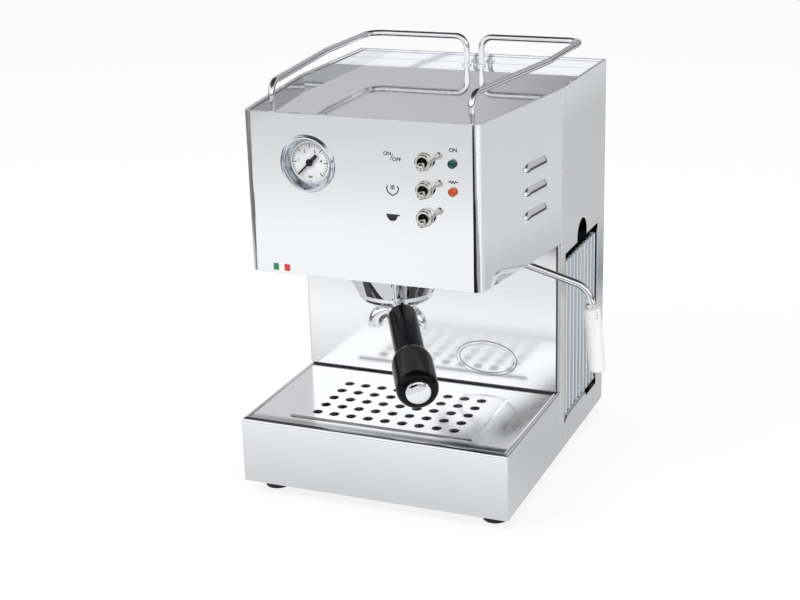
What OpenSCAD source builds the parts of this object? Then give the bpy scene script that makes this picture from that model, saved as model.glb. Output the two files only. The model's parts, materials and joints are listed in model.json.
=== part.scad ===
// Espresso machine: a single-group household machine in polished sheet steel, with a
// cantilevered head, a rear column that holds the water tank, and a drip tray box in front.
// Frame: X to the right seen from the front, Y to the rear, Z up. The origin is on the
// standing surface, midway between the sides and between the front and rear of the base.

/* [Body] */
// Width of the base and the column
body_w = 250; // [240:1:262]
// Depth of the base, front to rear
body_d = 290; // [284:1:305]
// Height of the rubber feet
foot_h = 12; // [8:0.5:18]
// Height of the drip tray box
base_h = 61; // [56:0.5:66]
// Height of the top rim above the underside of the base
body_h = 341; // [334:1:352]
// Height of the head's front face
head_h = 139; // [134:0.5:142]
// Width of the head's front face
head_front_w = 208; // [200:1:212]
// How far the head's front stands ahead of the base
head_lead = 2; // [0:0.5:6]
// Depth of the drip tray box, from its front to the splash panel
tray_d = 143.5; // [140:0.5:147]
// Bend radius of the drip tray box's upper edges
tray_bend = 4; // [3:0.5:5]
// Depth of the splash panel's side returns
return_d = 5.5; // [4:0.5:7]
// Thickness of the cover sheets
sheet = 1.2; // [0.8:0.1:1.5]
// Thickness of the base plate
plate_t = 2; // [1.5:0.1:3]
// Depth of the folded hem along the top rim
hem_h = 7; // [4:0.5:9]
// Bend radius of the head's front corners
corner_r = 8; // [6:0.5:10]
// Gap at the seams between covers
seam_gap = 0.5; // [0.3:0.1:1]
// Gap between a loose piece and its seat
seat_gap = 0.3; // [0.25:0.05:0.4]

/* [Tank bay] */
// Distance from the cover's seam to the window
window_in = 13.7; // [12.5:0.1:15]
// Distance from the window to the rear edge of the cover
window_rear = 21.7; // [20:0.1:26]
// Height of the window's sill above the underside of the base
window_sill = 23.5; // [22:0.5:25]
// Height of the window
window_h = 165; // [162:0.5:168]
// Radius of the finger notch above the window
notch_r = 15.5; // [13:0.5:18]
// Height of the finger notch above the window
notch_h = 19; // [18:0.5:22]
// Distance of the tank's face behind the cover's face
tank_recess = 0.5; // [0:0.1:3]
// Height of the tank's underside above the window's sill
tank_lift = 7.3; // [6:0.1:8]
// Gap between the tank and the window's rear edge
tank_gap = 1.2; // [0.8:0.1:2]
// Gap between the tank and the window's front edge
tank_front_gap = 3.6; // [2:0.1:6]
// Depth of the tank, from side to side
tank_d = 114; // [108:1:118]
// Height of the tank
tank_h = 148.5; // [144:0.5:149]
// Wall of the tank
tank_wall = 2.2; // [1.8:0.1:3]
// Number of ribs on the tank's outer face
rib_n = 9; // [6:1:10]
// How far the ribs stand out
rib_out = 2.6; // [1.5:0.1:3.4]
// Diameter of the tank's outlet spigot
spigot_d = 10; // [8:0.5:12]

/* [Group and portafilter] */
// Distance of the group's axis from the base's front
group_in = 68; // [64:0.5:71]
// Radius of the group's flange on the underside panel
flange_r = 52; // [49:0.5:54]
// Height of the bayonet ring's mouth below the head
ring_drop = 27; // [24:0.5:29]
// Inner radius of the bayonet ring
ring_r = 31; // [30:0.1:33]
// Inner radius of the portafilter
cup_r = 27.5; // [26:0.1:28]
// Height of the portafilter's bowl below the ring
bowl_h = 10; // [8:0.5:14]
// Turn of the handle from straight ahead when locked
handle_turn = 28; // [10:1:35]
// Droop of the handle
handle_droop = 9.4; // [5:0.2:12]
// Distance of the handle's end from the group's axis
handle_reach = 173; // [160:1:185]
// Diameter of the handle's slim part
grip_d = 25; // [21:0.2:26]
// Diameter of the handle's thick end
knob_d = 34; // [29:0.5:36]
// Length of the handle's thick end
knob_l = 52; // [50:1:62]
// Distance between the two spouts
spout_w = 40; // [36:0.5:44]
// Outer diameter of a spout
spout_d = 13; // [10:0.2:13.6]

/* [Steam wand] */
// Distance of the wand's swivel from the middle plane
wand_x = 96; // [94:0.2:98]
// Distance of the wand's swivel from the base's front
wand_in = 89.3; // [84:0.1:92]
// Reach of the wand's arm
wand_reach = 70.5; // [66:0.5:78]
// Direction of the arm at rest, from straight to the right
wand_turn = 12; // [0:1:24]
// Fall of the arm from the swivel to its bend
arm_drop = 19.6; // [16:0.1:24]
// Bend radius between the arm and the lower tube
wand_bend = 22; // [18:0.5:25]
// Lean of the lower tube away from the machine
sleeve_tilt = 5.5; // [0:0.5:8]
// Diameter of the wand tube
wand_d = 6.4; // [5.8:0.2:7.2]
// Diameter of the frothing sleeve
sleeve_d = 14.5; // [13:0.5:16]
// Length of the frothing sleeve
sleeve_l = 58.5; // [54:0.5:64]

/* [Gauge and switches] */
// Distance of the gauge from the middle plane
gauge_x = 46.5; // [44:0.5:50]
// Distance of the gauge below the rim
gauge_drop = 41.5; // [39:0.5:46]
// Outer diameter of the gauge's bezel
bezel_d = 49; // [47.5:0.5:54]
// How far the bezel stands out of the panel
bezel_out = 4; // [3.4:0.1:5]
// Distance of the switch column from the middle plane
switch_x = 57.5; // [54:0.5:60]
// Distance of the first switch below the rim
switch_drop = 32; // [27:0.5:35]
// Distance between switches
switch_pitch = 23.2; // [22.5:0.1:25]
// Tilt of a lever to each side
lever_tilt = 13; // [8:0.5:14]
// Distance of the lamps from the middle plane
lamp_x = 81; // [78:0.5:84]
// Distance of the first lamp below the rim
lamp_drop = 32.6; // [28:0.1:36]
// Distance between the lamps
lamp_pitch = 23; // [20:0.1:25]
// Diameter of a lamp's lens
lamp_d = 7.2; // [6.6:0.2:9]

/* [Top tray and rails] */
// Depth of the top tray below the rim
well_h = 8.5; // [7.5:0.5:12]
// Diameter of the rail rods
rail_d = 5.6; // [5:0.2:7]
// Height of the rails above the rim
rail_up = 19; // [16:0.5:26]
// Distance of the rails from the side walls
rail_in = 18.5; // [15:0.5:22]
// Gap between the two rails at the rear
rail_split = 15; // [12:0.5:24]

/* [Drip tray] */
// Width of the raised perforated field
field_w = 173; // [165:1:180]
// Depth of the raised perforated field
field_d = 97; // [92:0.5:100]
// Diameter of the drain holes
hole_d = 9; // [6:0.5:10]
// Distance between holes from side to side
hole_px = 16.3; // [14.5:0.1:17.5]
// Distance between holes from front to rear
hole_py = 17.5; // [15:0.1:18]

/* [Hidden] */
$fn = 64;
eps = 0.01;

x_side = body_w / 2;
x_head = head_front_w / 2;
y_front = -body_d / 2;
y_rear = body_d / 2;
y_col = y_front + tray_d;
y_seam = y_col + return_d;
y_head = y_front - head_lead;
z_base = foot_h;
z_plate = z_base + plate_t;
z_deck = z_base + base_h;
z_rim = z_base + body_h;
z_head = z_rim - head_h;
z_well = z_rim - well_h;
splay = atan((x_side - x_head) / (y_seam - y_head));

// Half width of the head at a given Y, measured to the outer face
function head_half(y) = y >= y_seam ? x_side : x_side - (y_seam - y) * tan(splay);

// Fits
bore_fit = 0.06;
loose_fit = 0.3;

// ---------- shared shapes ----------

function unit(v) = v / norm(v);

// A straight round bar between two points
module bar(a, b, d) {
  v = b - a;
  translate(a) rotate([0, acos(v.z / norm(v)), atan2(v.y, v.x)]) cylinder(d = d, h = norm(v));
}

// How much a bend is thicker than its bars, and how far each bar runs into it
bend_step = 0.03;
bend_lap = 0.2;

// A bend of a round bar at corner p, between directions u and v
module elbow(p, u, v, r, d) {
  turn = acos(u * v);
  w = unit(v - (u * v) * u);
  c = p - u * r * tan(turn / 2) + w * r;
  n = cross(-w, u);
  multmatrix([[-w.x, u.x, n.x, c.x], [-w.y, u.y, n.y, c.y], [-w.z, u.z, n.z, c.z], [0, 0, 0, 1]])
    rotate_extrude(angle = turn) translate([r, 0]) circle(d = d + 2 * bend_step);
}

function cut_back(p, i, r) = (i == 0 || i == len(p) - 1) ? 0
  : r[i] * tan(acos(unit(p[i] - p[i - 1]) * unit(p[i + 1] - p[i])) / 2) - bend_lap;

// A bent round bar along points p, with bend radius r[i] at point i
module rod(p, r, d, $fn = 48) {
  for (i = [0 : len(p) - 2]) {
    u = unit(p[i + 1] - p[i]);
    bar(p[i] + u * cut_back(p, i, r), p[i + 1] - u * cut_back(p, i + 1, r), d);
  }
  for (i = [1 : len(p) - 2])
    elbow(p[i], unit(p[i] - p[i - 1]), unit(p[i + 1] - p[i]), r[i], d);
}

// A box given by two opposite corners
module block(a, b) { translate(a) cube(b - a); }

// A box centred in X and Y, standing on z
module pad(c, w, d, h) { translate([c.x - w / 2, c.y - d / 2, c.z]) cube([w, d, h]); }

// Turns a solid made along +Z so that it points out of the front panel, towards -Y
module out_front(x, z) { translate([x, y_head, z]) rotate([90, 0, 0]) children(); }

// Plan outline of the head and column, inset by a distance, from the front to y_end
module plan(inset, y_end) {
  intersection() {
    offset(r = max(corner_r - inset, 0.5)) offset(delta = -max(corner_r - inset, 0.5))
      offset(delta = -inset) polygon([[-x_head, y_head], [x_head, y_head], [x_side, y_seam],
        [x_side, y_rear + body_w], [-x_side, y_rear + body_w], [-x_side, y_seam]]);
    translate([-body_w, y_head - body_w]) square([2 * body_w, y_end - y_head + body_w]);
  }
}

// Frame on the splayed right side of the head: X runs to the rear, -Y points outwards
module on_splay() { translate([x_head, y_head, 0]) rotate([0, 0, 90 - splay]) children(); }

// ---------- standing parts ----------

foot_r = 11;
foot_flare = 1.5;
foot_inset_x = 20;
foot_inset_y = 26;
screw_d = 4;
screw_head_d = 8;
screw_head_h = 2.2;

module at_feet()
  for (sx = [-1, 1], y = [y_front + foot_inset_y, y_rear - foot_inset_y])
    translate([sx * (x_side - foot_inset_x), y, 0]) children();

skirt_gap = 0.5;

module base_plate() color("#b9bcc0") difference() {
  union() {
    block([-x_side + sheet, y_seam + seam_gap / 2, z_base], [x_side - sheet, y_rear - sheet, z_plate]);
    block([-x_side + sheet + skirt_gap, y_front + sheet + skirt_gap, z_base],
      [x_side - sheet - skirt_gap, y_seam + seam_gap / 2 + eps, z_plate]);
  }
  at_feet() cylinder(d = screw_d, h = z_plate + 1);
}

foot_hollow_r = 6;
foot_web = 5;

module feet() color("#17171a") at_feet() difference() {
  cylinder(r1 = foot_r, r2 = foot_r + foot_flare, h = foot_h);
  translate([0, 0, -1]) cylinder(r = foot_hollow_r, h = foot_h - foot_web + 1);
  cylinder(d = screw_d, h = foot_h + 1);
}

module foot_screws() color("#9a9da1") at_feet() {
  translate([0, 0, foot_h - foot_web - screw_head_h]) cylinder(d = screw_head_d, h = screw_head_h);
  translate([0, 0, foot_h - foot_web - eps]) cylinder(d = screw_d, h = foot_web + plate_t + eps);
}

// ---------- frame inside the column ----------

bulkhead_y = y_seam + 1;
bulkhead_t = 1.5;
panel_t = 1.2;
panel_lift = 3;
z_panel = z_head + panel_lift;
frame_flange = 8;

module bulkhead() color("#a9acb0") {
  block([-x_side + sheet, bulkhead_y, z_plate], [x_side - sheet, bulkhead_y + bulkhead_t, z_panel]);
  for (sx = [-1, 1]) mirror([sx < 0 ? 1 : 0, 0, 0])
    block([x_side - sheet - bulkhead_t, bulkhead_y + bulkhead_t - eps, z_plate],
      [x_side - sheet, bulkhead_y + frame_flange, z_panel]);
  block([-x_side + sheet, bulkhead_y + bulkhead_t - eps, z_panel - bulkhead_t],
    [x_side - sheet, bulkhead_y + frame_flange, z_panel]);
}

// ---------- covers ----------

hem_t = 2 * sheet + 0.2;

module side_sheet() {
  block([x_side - sheet, y_seam + seam_gap / 2, z_base], [x_side, y_rear, z_rim]);
  block([x_side - hem_t, y_seam + seam_gap / 2, z_rim - hem_h], [x_side, y_rear - hem_t, z_rim]);
}

module left_cover() color("#b9bac2") mirror([1, 0, 0]) side_sheet();

window_y0 = y_seam + window_in;
window_y1 = y_rear - window_rear;
window_w = window_y1 - window_y0;
window_yc = window_y0 + window_w / 2;
window_z0 = z_base + window_sill;
window_z1 = window_z0 + window_h;
window_corner = 1.5;
sill_front = 10;
sill_rear = 35;
sill_h = 3.6;

// A rounded rectangle given by two opposite corners
module rounded(a, b, r) {
  translate([a.x + r, a.y]) square([b.x - a.x - 2 * r, b.y - a.y]);
  translate([a.x, a.y + r]) square([b.x - a.x, b.y - a.y - 2 * r]);
  for (x = [a.x + r, b.x - r], y = [a.y + r, b.y - r]) translate([x, y]) circle(r = r);
}

// The window's outline in the YZ plane, with a finger notch above and a raised lip in its sill
module window_outline() difference() {
  union() {
    rounded([window_y0, window_z0], [window_y1, window_z1], window_corner);
    translate([window_yc - notch_r, window_z1 - eps]) square([2 * notch_r, notch_h - notch_r + eps]);
    translate([window_yc, window_z1 + notch_h - notch_r]) circle(r = notch_r);
  }
  polygon([[window_y0, window_z0 - 1], [window_y0 + sill_front, window_z0 + sill_h],
    [window_y1 - sill_rear, window_z0 + sill_h], [window_y1 - sill_rear, window_z0 - 1]]);
}

module along_x(x0, length) { translate([x0, 0, 0]) rotate([90, 0, 90]) linear_extrude(length) children(); }

module right_cover() color("#b5b5bd") difference() {
  side_sheet();
  along_x(x_side - sheet - 1, sheet + 2) window_outline();
}

vent_n = 6;
vent_w = 46;
vent_h = 3;
vent_pitch = 9;
vent_drop = 60;
inlet_x = -70;
inlet_z = z_plate + 34;
inlet_w = 27;
inlet_h = 20;
rear_screw_in = 10;
rear_screw_up = 8;
rear_screw_drop = 30;

module at_rear_screws()
  for (sx = [-1, 1], z = [z_plate + rear_screw_up, z_rim - rear_screw_drop])
    translate([sx * (x_side - sheet - rear_screw_in), y_rear, z]) rotate([-90, 0, 0]) children();

module rear_cover() color("#b5b5bd") difference() {
  union() {
    block([-x_side + sheet, y_rear - sheet, z_base], [x_side - sheet, y_rear, z_rim]);
    block([-x_side + hem_t, y_rear - hem_t, z_rim - hem_h], [x_side - hem_t, y_rear, z_rim]);
  }
  for (sx = [-1, 1], i = [0 : vent_n - 1])
    block([sx * body_w / 4 - vent_w / 2, y_rear - sheet - 1, z_rim - vent_drop - i * vent_pitch],
      [sx * body_w / 4 + vent_w / 2, y_rear + 1, z_rim - vent_drop - i * vent_pitch + vent_h]);
  block([inlet_x - inlet_w / 2, y_rear - sheet - 1, inlet_z - inlet_h / 2],
    [inlet_x + inlet_w / 2, y_rear + 1, inlet_z + inlet_h / 2]);
  at_rear_screws() translate([0, 0, -sheet - 1]) cylinder(d = screw_d, h = sheet + 2);
}

rear_screw_l = 8;

module rear_screws() color("#9a9da1") at_rear_screws() {
  cylinder(d = screw_head_d, h = screw_head_h);
  translate([0, 0, -rear_screw_l]) cylinder(d = screw_d, h = rear_screw_l + eps);
}

// ---------- head ----------

louvre_n = 3;
louvre_l = 45;
louvre_h = 7.5;
louvre_out = 3.5;
louvre_from = 77.5;
louvre_drop = 58;
louvre_pitch = 20.7;
louvre_r = (pow(louvre_h, 2) + pow(louvre_out, 2)) / (2 * louvre_out);

module at_louvres() for (m = [0, 1], i = [0 : louvre_n - 1]) mirror([m, 0, 0]) on_splay()
  translate([louvre_from, 0, z_rim - louvre_drop - i * louvre_pitch]) children();

// Round-ended rod inside the sheet whose upper outer part is the shape of a louvre
module louvre_form(inset) {
  r = louvre_r - inset;
  half = louvre_l / 2 - louvre_h;
  intersection() {
    translate([louvre_l / 2, louvre_r - louvre_out, 0]) rotate([0, 90, 0]) rotate_extrude() intersection() {
      union() {
        translate([0, -half]) square([r, 2 * half]);
        for (end = [-half, half]) translate([0, end]) circle(r = r);
      }
      translate([0, -half - r]) square([r, 2 * (half + r)]);
    }
    block([-louvre_r, -louvre_r, 0], [louvre_l + louvre_r, inset > 0 ? sheet + 1 : sheet / 2, louvre_r]);
  }
}

gauge_case_r = 21.5;
bush_r = 6;
lamp_body_r = 3.1;

function switch_z(i) = z_rim - switch_drop - i * switch_pitch;
function lamp_z(i) = z_rim - lamp_drop - i * lamp_pitch;
z_gauge = z_rim - gauge_drop;

module head_cover() color("#d5d5de") difference() {
  union() {
    translate([0, 0, z_head]) linear_extrude(head_h) difference() {
      plan(0, y_seam - seam_gap / 2);
      plan(sheet, y_seam + 1);
    }
    translate([0, 0, z_rim - hem_h]) linear_extrude(hem_h) difference() {
      plan(sheet / 2, y_seam - seam_gap / 2);
      plan(hem_t, y_seam + 1);
    }
    at_louvres() louvre_form(0);
  }
  at_louvres() translate([0, 0, -eps]) louvre_form(sheet);
  out_front(-gauge_x, z_gauge) translate([0, 0, -5]) cylinder(r = gauge_case_r + loose_fit, h = 10);
  for (i = [0 : 2]) out_front(switch_x, switch_z(i)) translate([0, 0, -5])
    cylinder(r = bush_r + bore_fit, h = 10);
  for (i = [0 : 1]) out_front(lamp_x, lamp_z(i)) translate([0, 0, -5])
    cylinder(r = lamp_body_r + bore_fit, h = 10);
}

y_group = y_front + group_in;
wand_at = [wand_x, y_front + wand_in];
neck_r = 46;
panel_rear = bulkhead_y + frame_flange;

// Height of the arm at the swivel, so that it passes under the head's side as it turns
arm_gap = 1.2;
arm_half = wand_d / 2 / cos(arm_drop);
arm_side = (head_half(wand_at.y) - wand_at.x) * cos(splay) - sheet;
z_arm = z_head - arm_gap - arm_half + arm_side * tan(arm_drop);
wand_hole_r = (z_arm + arm_half + arm_gap - z_panel) / tan(arm_drop);

module underside_panel() color("#a9acb0") difference() {
  union() {
    translate([0, 0, z_panel]) linear_extrude(panel_t) plan(sheet, panel_rear);
    translate([0, 0, z_panel + panel_t - eps]) linear_extrude(frame_flange) difference() {
      plan(sheet, y_seam - seam_gap);
      plan(sheet + panel_t, y_seam);
    }
  }
  translate([0, y_group, z_panel - 1]) cylinder(r = neck_r + loose_fit, h = panel_t + 2);
  translate([wand_at.x, wand_at.y, z_panel - 1]) cylinder(r = wand_hole_r, h = panel_t + 2);
}

seal_h = 0.8;
splash_r = 3;
badge_w = 58;
badge_h = 33;
badge_line = 2.4;
badge_out = 0.7;
badge_x = 56;
badge_up = 26;

function oval(w, h) = [for (a = [0 : 7.5 : 359]) [w / 2 * cos(a), h / 2 * sin(a)]];

// Plan outline inside the splash panel's rounded front corners, inset by a distance
module splash_plan(inset) {
  r = splash_r - inset;
  x0 = -x_side + inset;
  w = body_w - 2 * inset;
  d = y_seam - seam_gap / 2 - y_col - inset;
  translate([x0, y_col + inset + r]) square([w, d - r]);
  translate([x0 + r, y_col + inset]) square([w - 2 * r, d]);
  for (x = [x0 + r, x0 + w - r]) translate([x, y_col + inset + r]) circle(r = r);
}

z_splash = z_deck + seal_h + seat_gap;
splash_tab_in = 12;

module splash_panel() color("#e4e5e9") {
  difference() {
    translate([0, 0, z_splash]) linear_extrude(z_head - seat_gap - z_splash) splash_plan(0);
    translate([0, 0, z_splash - 1]) linear_extrude(z_head) splash_plan(sheet);
    block([-x_side + sheet, y_seam - sheet - seam_gap, z_splash - 1], [x_side - sheet, y_seam, z_head]);
  }
  block([-x_side + splash_tab_in, y_col, z_head - seat_gap - 1], [x_side - splash_tab_in, y_col + sheet,
    z_panel]);
  // Plain oval pressing, with nothing in it
  translate([badge_x, y_col + eps, z_deck + badge_up]) rotate([90, 0, 0]) linear_extrude(badge_out + eps)
    difference() {
      polygon(oval(badge_w, badge_h));
      polygon(oval(badge_w - 2 * badge_line, badge_h - 2 * badge_line));
    }
}

module splash_seal() color("#1c1c1f")
  block([-x_side + splash_r, y_col, z_deck + seat_gap], [x_side - splash_r, y_col + 2 * sheet, z_splash]);

ledge_w = 10;
z_tray_under = z_well - sheet;

z_ledge = z_tray_under - seat_gap - sheet;
ledge_side = 6;

// Angle strips that carry the top tray: one along each side and one at the front
module tray_ledges() color("#a9acb0") {
  for (m = [0, 1]) mirror([m, 0, 0]) side_ledge();
  x0 = -gauge_x + gauge_case_r + ledge_side;
  x1 = switch_x - switch_h / 2 - ledge_side;
  block([x0, y_head + sheet, z_ledge], [x1, y_head + sheet + ledge_w, z_ledge + sheet]);
  block([x0, y_head + sheet, z_ledge - ledge_w], [x1, y_head + 2 * sheet, z_ledge + eps]);
}

module side_ledge() {
  block([x_side - sheet - ledge_w, y_seam + seam_gap, z_ledge], [x_side - sheet, y_rear - sheet,
    z_ledge + sheet]);
  block([x_side - 2 * sheet, y_seam + seam_gap, z_ledge - ledge_w], [x_side - sheet, y_rear - sheet,
    z_ledge + eps]);
}

// ---------- water tank and its bay ----------

shelf_t = 1.2;
tank_z0 = window_z0 + tank_lift;
z_shelf = tank_z0 - seat_gap;
tank_x1 = x_side - tank_recess;
tank_x0 = tank_x1 - tank_d;
tank_w = window_w - tank_gap - tank_front_gap;
tank_yc = window_yc + (tank_front_gap - tank_gap) / 2;
tank_corner = 4;
wall_x = tank_x0 - 6;
wall_top = window_z1 + notch_h;
spigot_up = 14;
z_spigot = tank_z0 + spigot_up;
socket_l = 22;
hose_d = 8;
nipple_d = 5.6;
nipple_l = 10;

module tank_shelf() color("#a9acb0") difference() {
  union() {
    block([wall_x, panel_rear + 1, z_shelf - shelf_t], [x_side - sheet, y_rear - sheet, z_shelf]);
    block([x_side - sheet - shelf_t, window_y0, window_z0 - shelf_t],
      [x_side - sheet, window_y1 - sill_rear, z_shelf - shelf_t + eps]);
    block([wall_x, panel_rear + 1, z_plate], [wall_x + shelf_t, y_rear - sheet, wall_top]);
    for (y = [panel_rear + 1, y_rear - sheet - shelf_t])
      block([wall_x, y, z_plate], [x_side - sheet - rear_screw_in - screw_head_d, y + shelf_t,
        z_shelf - shelf_t + eps]);
  }
  translate([wall_x - 1, window_yc, z_spigot]) rotate([0, 90, 0])
    cylinder(d = spigot_d + 4, h = shelf_t + 2);
}

module tank_socket() color("#2a2a2d") translate([wall_x, window_yc, z_spigot])
  rotate([0, -90, 0]) difference() {
  union() {
    cylinder(d = spigot_d + 16, h = 3);
    cylinder(d = spigot_d + 6, h = socket_l);
    translate([0, 0, socket_l - eps]) cylinder(d = nipple_d, h = nipple_l);
  }
  translate([0, 0, -1]) cylinder(d = spigot_d + 2 * loose_fit, h = socket_l - 3);
  translate([0, 0, -1]) cylinder(d = nipple_d / 2, h = socket_l + nipple_l + 2);
}

rib_pitch = tank_w / rib_n;

// Plan outline of the tank's box, and of the rounded ribs from one to another on its outer face
module tank_box(inset) translate([tank_x0 + tank_corner, tank_yc - tank_w / 2 + tank_corner])
  offset(r = tank_corner - inset)
    square([tank_x1 - rib_out - tank_x0 - 2 * tank_corner, tank_w - 2 * tank_corner]);

module tank_ribs(first, last, inset) for (i = [first : last])
  translate([tank_x1 - rib_pitch / 2 - inset, tank_yc + (i - (rib_n - 1) / 2) * rib_pitch])
    circle(d = rib_pitch - 0.6, $fn = 24);

module water_tank() color("#cfe0ea") {
  difference() {
    translate([0, 0, tank_z0]) linear_extrude(tank_h) {
      tank_box(0);
      tank_ribs(0, rib_n - 1, 0);
    }
    translate([0, 0, tank_z0 + tank_wall]) linear_extrude(tank_h) {
      tank_box(tank_wall);
      tank_ribs(1, rib_n - 2, tank_wall);
    }
    translate([tank_x0 - 1, window_yc, z_spigot]) rotate([0, 90, 0]) cylinder(d = 4, h = tank_wall + 3);
  }
  translate([tank_x0 + 1, window_yc, z_spigot]) rotate([0, -90, 0]) difference() {
    cylinder(d = spigot_d, h = 18);
    translate([0, 0, -2]) cylinder(d = 4, h = 22);
    translate([0, 0, 13]) difference() {
      cylinder(d = spigot_d + 2, h = 2);
      translate([0, 0, -1]) cylinder(d = spigot_d - 2, h = 4);
    }
  }
}

module tank_seal() color("#c8452e") translate([tank_x0 + 1, window_yc, z_spigot]) rotate([0, -90, 0])
  translate([0, 0, 14]) rotate_extrude() translate([spigot_d / 2 - 0.2, 0]) circle(r = 0.45, $fn = 24);

// ---------- drip tray ----------

cover_gap = 0.5;
lip_in = 5;
cover_drop = 0.9;
z_cover = z_deck - cover_drop;
rim_in = tray_bend + 0.5;
y_tray_back = y_seam - seam_gap;

// Box with rounded front and side edges on top, inset by a distance
module tray_form(inset, z0) {
  r = tray_bend - inset;
  w = body_w - 2 * inset;
  y0 = y_front + inset;
  z1 = z_deck - inset;
  intersection() {
    translate([-w / 2, 0, 0]) rotate([90, 0, 90]) linear_extrude(w) {
      translate([y0, z0]) square([y_tray_back - y0, z1 - r - z0]);
      translate([y0 + r, z0]) square([y_tray_back - y0 - r, z1 - z0]);
      translate([y0 + r, z1 - r]) circle(r = r);
    }
    translate([0, y_tray_back, 0]) rotate([90, 0, 0]) linear_extrude(y_tray_back - y0) {
      translate([-w / 2, z0]) square([w, z1 - r - z0]);
      translate([-w / 2 + r, z0]) square([w - 2 * r, z1 - z0]);
      for (s = [-1, 1]) translate([s * (w / 2 - r), z1 - r]) circle(r = r);
    }
  }
}

module drip_tray() color("#d5d9dc") {
  z_floor = z_plate + seat_gap;
  x_in = x_side - sheet;
  // Skin with rolled upper edges, open below and above
  difference() {
    tray_form(0, z_base);
    translate([0, eps, 0]) tray_form(sheet, z_base - 1);
    block([-x_side + rim_in, y_front + rim_in, z_deck - 2 * sheet], [x_side - rim_in, y_tray_back + 1,
      z_deck + 1]);
    block([-x_in, y_tray_back - sheet, z_base - 1], [x_in, y_tray_back + 1, z_deck - tray_bend]);
  }
  block([-x_in - eps, y_front + sheet - eps, z_floor], [x_in + eps, y_tray_back, z_floor + sheet]);
  block([-x_in - eps, y_tray_back - sheet, z_floor], [x_in + eps, y_tray_back, z_deck - 2 * tray_bend]);
  // Ledge that carries the cover
  translate([0, 0, z_cover - 2 * sheet - seat_gap]) linear_extrude(sheet) difference() {
    translate([-x_in - eps, y_front + sheet - eps]) square([2 * (x_in + eps),
      y_col - y_front - sheet - cover_gap]);
    translate([-x_in + lip_in, y_front + sheet + lip_in]) square([2 * (x_in - lip_in), tray_d]);
  }
}

field_up = 1.4;
field_bevel = 1.2;
hole_nx = 9;
hole_ny = 5;
y_field = y_front + group_in;

// Cross-section of the raised field, bevelled along its upper edge
module field_profile(w) {
  polygon([[-w / 2, z_cover - sheet], [w / 2, z_cover - sheet], [w / 2, z_cover], [w / 2 - field_bevel,
    z_cover + field_up],
    [-w / 2 + field_bevel, z_cover + field_up], [-w / 2, z_cover]]);
}

module drip_cover() color("#dfe2e5") difference() {
  union() {
    block([-x_side + rim_in + cover_gap, y_front + rim_in + cover_gap, z_cover - sheet],
      [x_side - rim_in - cover_gap, y_col - badge_out - cover_gap, z_cover]);
    intersection() {
      translate([0, y_field + field_d / 2, 0]) rotate([90, 0, 0])
        linear_extrude(field_d) field_profile(field_w);
      translate([-field_w / 2, y_field, 0]) rotate([90, 0, 90])
        linear_extrude(field_w) field_profile(field_d);
    }
  }
  for (i = [0 : hole_nx - 1], j = [0 : hole_ny - 1])
    translate([(i - (hole_nx - 1) / 2) * hole_px, y_field + (j - (hole_ny - 1) / 2) * hole_py,
      z_cover - 2 * sheet])
      cylinder(d = hole_d, h = 10, $fn = 32);
}

// ---------- top tray and rails ----------

tray_gap = hem_t + 0.6;
tray_wall_h = well_h - 2;

module cup_tray() color("#cfd1d9") difference() {
  translate([0, 0, z_tray_under]) linear_extrude(sheet + tray_wall_h) plan(tray_gap, y_rear - tray_gap);
  translate([0, 0, z_well]) linear_extrude(well_h) plan(tray_gap + sheet, y_rear - tray_gap - sheet);
  for (m = [0, 1]) mirror([m, 0, 0]) for (p = [rail_path()[0], rail_path()[len(rail_path()) - 1]])
    translate([p.x, p.y, z_tray_under - 1]) cylinder(d = rail_d - 2 + 2 * bore_fit, h = sheet + 2);
}

rail_front_in = 24;
rail_rear_in = 17;
rail_kink = 22;
post_bend = 11;
corner_bend = 15;
side_bend = 30;
z_rail = z_rim + rail_up;

// Centre line of the right rail, from its front foot to its rear foot
function rail_path() = let (y0 = y_head + rail_front_in, x1 = x_side - rail_in, y1 = y_rear - rail_rear_in)
  [[head_half(y0) - rail_in, y0, z_well], [head_half(y0) - rail_in, y0, z_rail], [x1, y_seam + rail_kink, z_rail],
   [x1, y1, z_rail], [rail_split / 2, y1, z_rail], [rail_split / 2, y1, z_well]];

rail_stud = 10;

module rail() {
  p = rail_path();
  rod(p, [0, post_bend, side_bend, corner_bend, post_bend, 0], rail_d);
  for (q = [p[0], p[len(p) - 1]]) {
    translate([q.x, q.y, z_well]) cylinder(d = rail_d + 4, h = 1.5);
    translate([q.x, q.y, z_well - rail_stud]) cylinder(d = rail_d - 2, h = rail_stud + eps);
  }
}

module right_rail() color("#c9ccd2") rail();
module left_rail() color("#c9ccd2") mirror([1, 0, 0]) rail();

module rail_nuts() color("#9a9da1") for (m = [0, 1]) mirror([m, 0, 0]) {
  p = rail_path();
  for (q = [p[0], p[len(p) - 1]]) translate([q.x, q.y, z_tray_under - 3.2]) difference() {
    cylinder(d = rail_d + 2, h = 3.2, $fn = 6);
    translate([0, 0, -1]) cylinder(d = rail_d - 2 + 2 * bore_fit, h = 6);
  }
}

// ---------- group ----------

z_ring = z_head - ring_drop;
ring_lip = 5.8;
ear_h = 4;
ear_out = 3.6;
cavity_r = ring_r + 4.4;
z_ear = z_ring + ring_lip + 0.5;
z_cup_top = z_ear + ear_h + 3;
gasket_gap = 0.6;
gasket_h = 7.5;
z_ceiling = z_cup_top + gasket_gap + gasket_h;
z_flange = z_panel + panel_t;
flange_t = 5;
z_group_top = z_flange + flange_t;
ring_wall = 4.6;

module at_group() { translate([0, y_group, 0]) children(); }

// Bayonet slots, met by the ears when the handle is at the end of its travel to the left
unlock_turn = 70;

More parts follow.
